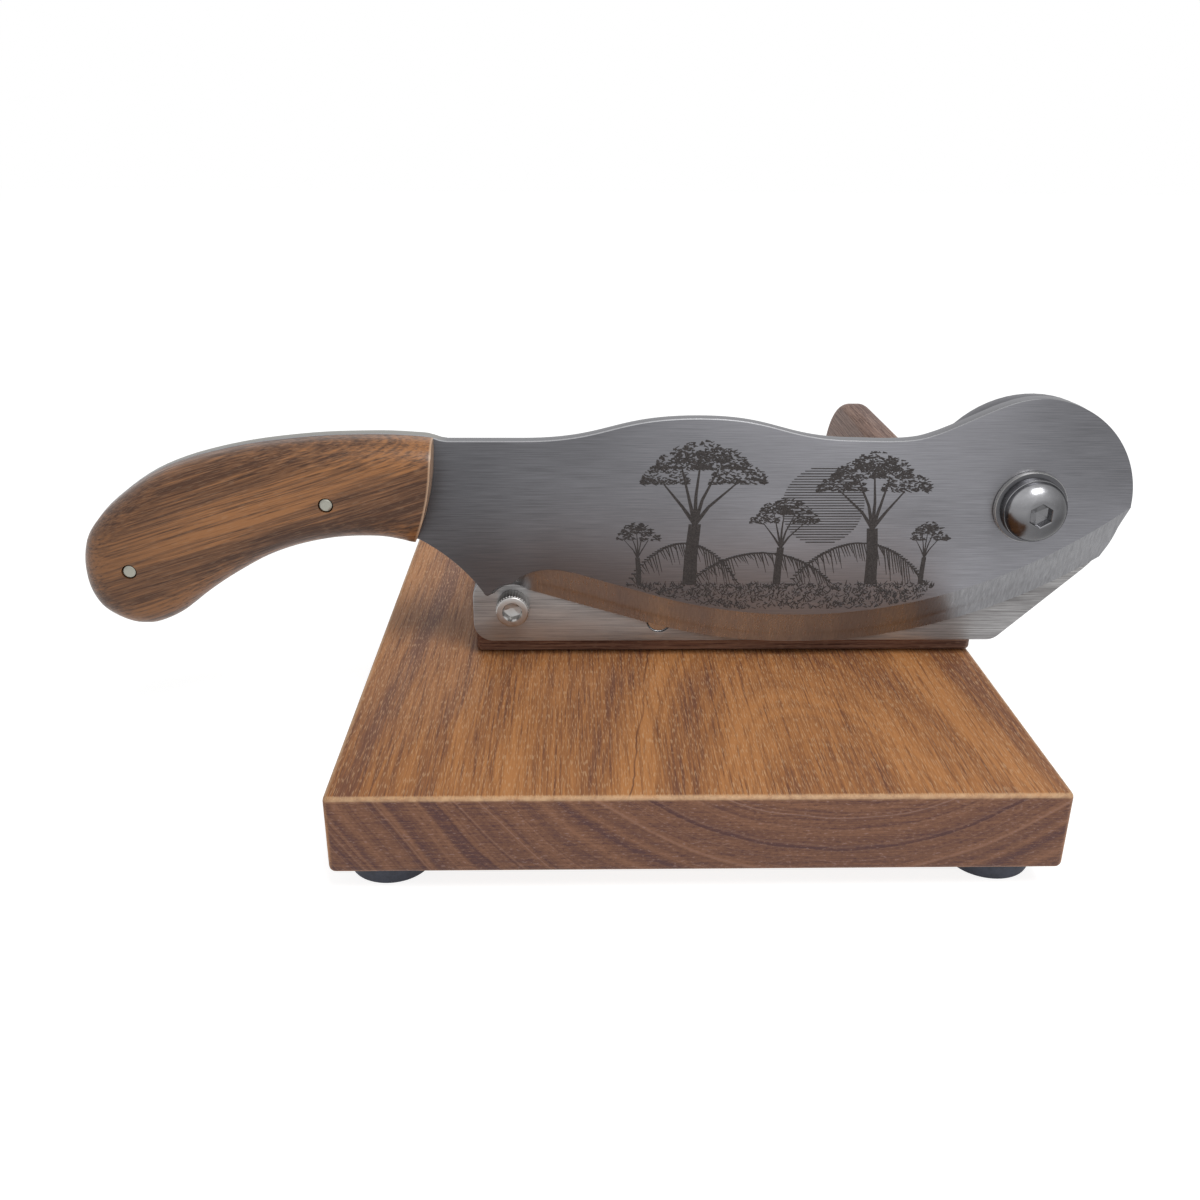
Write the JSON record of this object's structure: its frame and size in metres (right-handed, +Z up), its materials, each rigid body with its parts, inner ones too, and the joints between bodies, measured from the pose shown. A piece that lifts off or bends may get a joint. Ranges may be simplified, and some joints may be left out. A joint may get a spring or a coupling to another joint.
{
  "type": "biltong cutter",
  "caption": "Hinged steel blade with a wooden handle that shears past a steel plate on a wooden board, with an anvil block, a side fence and rubber feet.",
  "frame": {"origin": "middle of the bounding box, on the table plane under the feet", "axes": "+X along the blade from the handle to the pivot, +Y from the front to the back, +Z up"},
  "size_m": [0.3034, 0.275, 0.1124],
  "materials": {
    "board_wood": "oiled",
    "block_wood": "oiled",
    "handle_wood": "oiled and rounded",
    "blade_steel": "brushed along its length",
    "polished_steel": "polished",
    "zinc_steel": "zinc plated",
    "brass": "turned",
    "rubber": "matt",
    "nylon": "moulded"
  },
  "bodies": {
    "base": {"base_board": "board_wood", "foot_front_left": "rubber", "foot_front_right": "rubber", "foot_rear_left": "rubber", "foot_rear_right": "rubber", "foot_washer_front_left": "zinc_steel", "foot_washer_front_right": "zinc_steel", "foot_washer_rear_left": "zinc_steel", "foot_washer_rear_right": "zinc_steel", "foot_screw_front_left": "zinc_steel", "foot_screw_front_right": "zinc_steel", "foot_screw_rear_left": "zinc_steel", "foot_screw_rear_right": "zinc_steel", "anvil_block": "block_wood", "guide_fence": "block_wood", "block_screw_left": "zinc_steel", "block_screw_right": "zinc_steel", "fence_screw_front": "zinc_steel", "fence_screw_rear": "zinc_steel", "shear_plate": "blade_steel", "plate_screw_left": "zinc_steel", "plate_screw_right": "zinc_steel", "stop_screw": "polished_steel", "stop_screw_insert": "brass", "pivot_bolt": "polished_steel", "pivot_washer_front": "polished_steel", "pivot_washer_rear": "polished_steel", "pivot_lock_nut": "zinc_steel", "lock_nut_ring": "nylon"},
    "blade": {"blade": "blade_steel", "handle_scale_front": "handle_wood", "handle_scale_rear": "handle_wood", "handle_pin_near": "polished_steel", "handle_pin_far": "polished_steel"}
  },
  "joints": [
    {"name": "blade_swing", "type": "hinge", "parent": "base", "child": "blade", "pos_m": [0.12155, -0.061, 0.081], "axis": [0, 1, 0], "range_deg": [-0.6, 120]}
  ]
}
